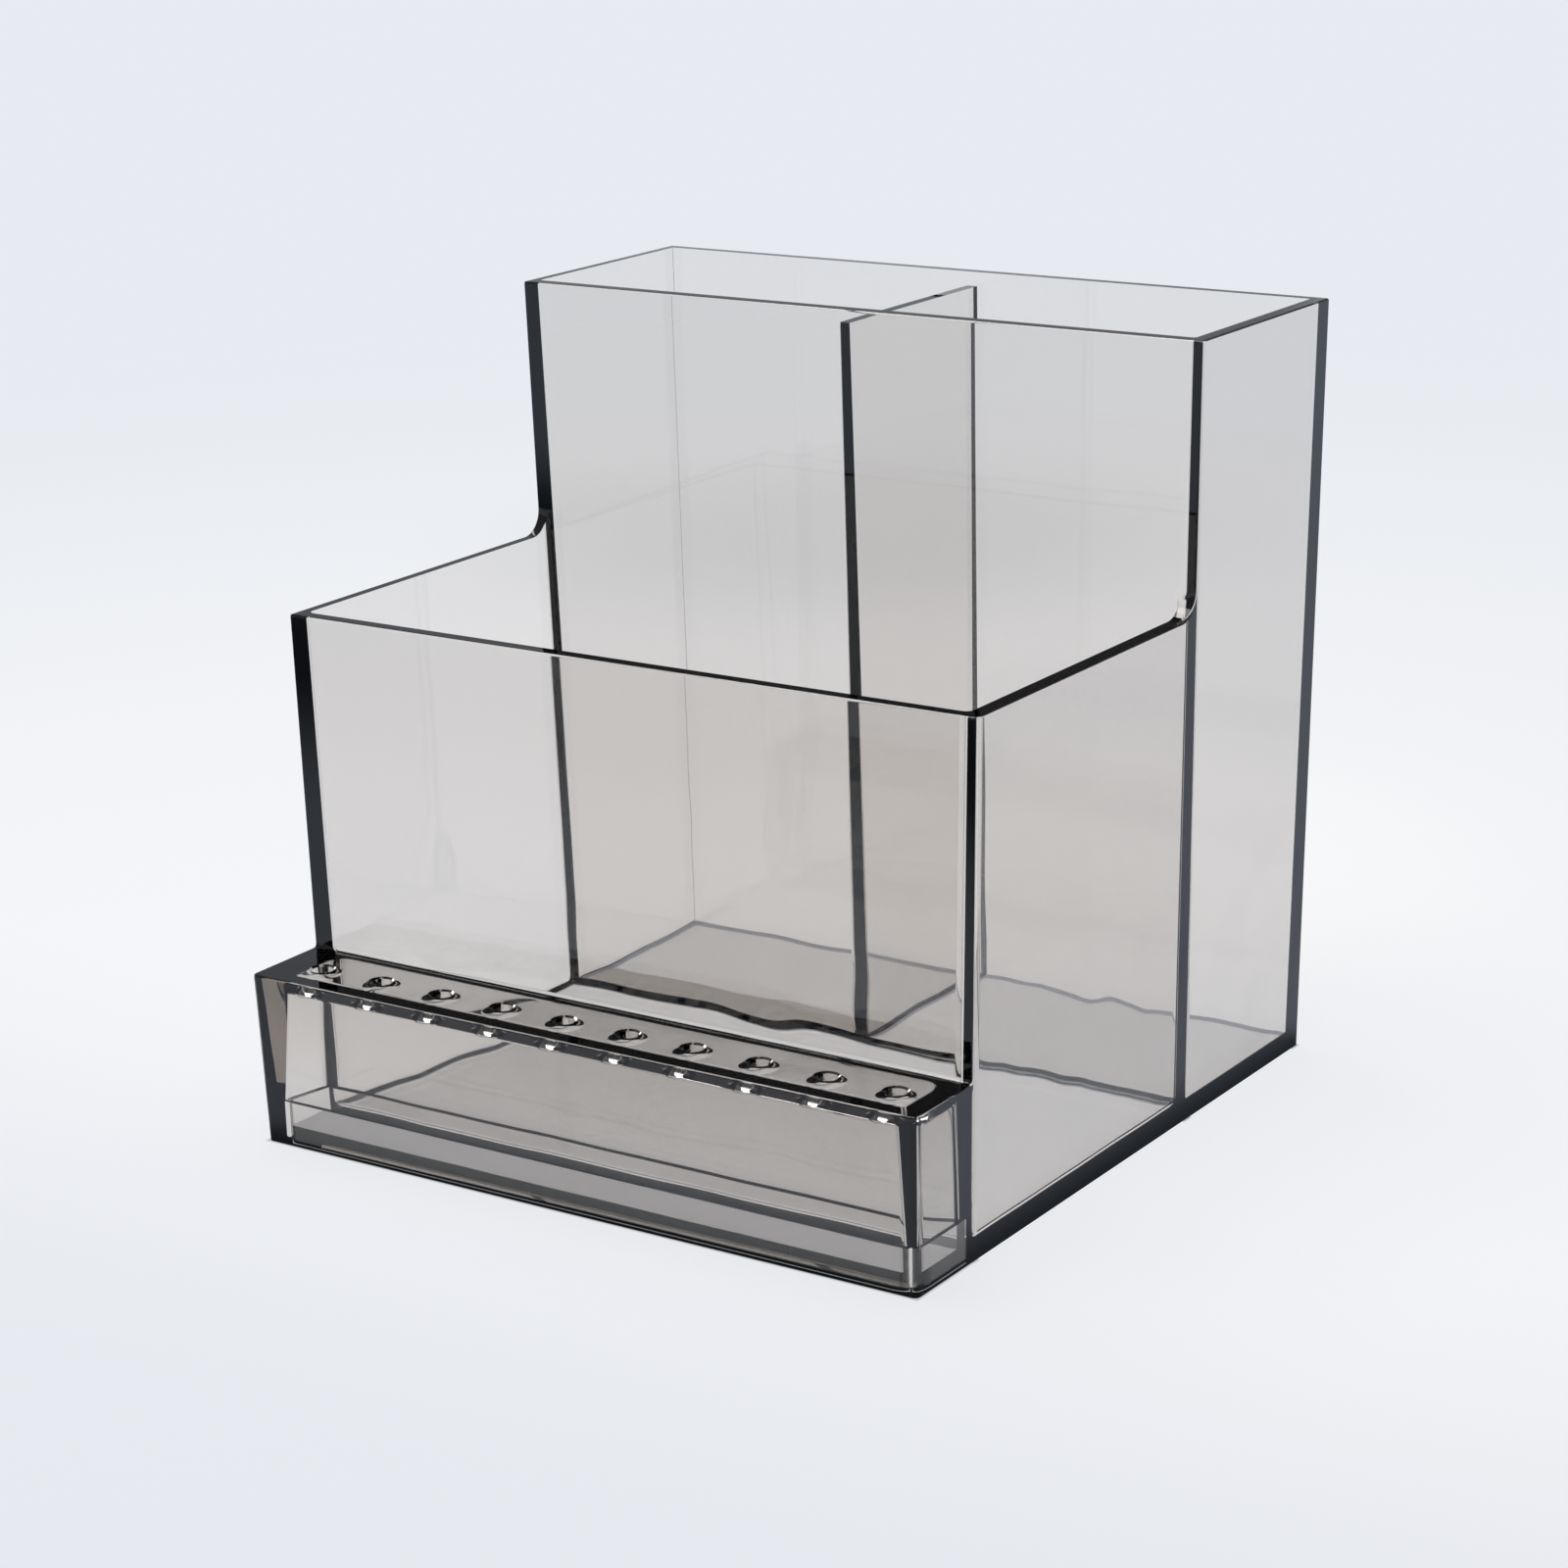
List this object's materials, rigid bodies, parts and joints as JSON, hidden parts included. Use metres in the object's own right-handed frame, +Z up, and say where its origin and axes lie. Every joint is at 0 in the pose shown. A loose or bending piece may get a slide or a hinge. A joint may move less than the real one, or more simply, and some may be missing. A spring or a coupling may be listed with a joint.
{
  "type": "nail drill storage box",
  "caption": "Stepped clear plastic desktop box with a wide front compartment, tall rear compartments and a low front rack with a row of holes for drill bits.",
  "frame": {"origin": "centre of the bounding box at the underside of the base", "axes": "+X to the right seen from the bit rack, +Y to the back wall, +Z up"},
  "size_m": [0.108, 0.104, 0.106],
  "materials": {
    "smoky_clear_plastic": "polished, transparent with a grey smoke tint"
  },
  "bodies": {
    "root": {"base_plate": "smoky_clear_plastic", "left_side_wall": "smoky_clear_plastic", "right_side_wall": "smoky_clear_plastic", "front_wall": "smoky_clear_plastic", "cross_partition": "smoky_clear_plastic", "back_wall": "smoky_clear_plastic", "centre_divider": "smoky_clear_plastic", "rack_top_plate": "smoky_clear_plastic", "rack_front": "smoky_clear_plastic", "rack_left_end": "smoky_clear_plastic", "rack_right_end": "smoky_clear_plastic", "rack_bottom_cover": "smoky_clear_plastic"}
  },
  "joints": []
}
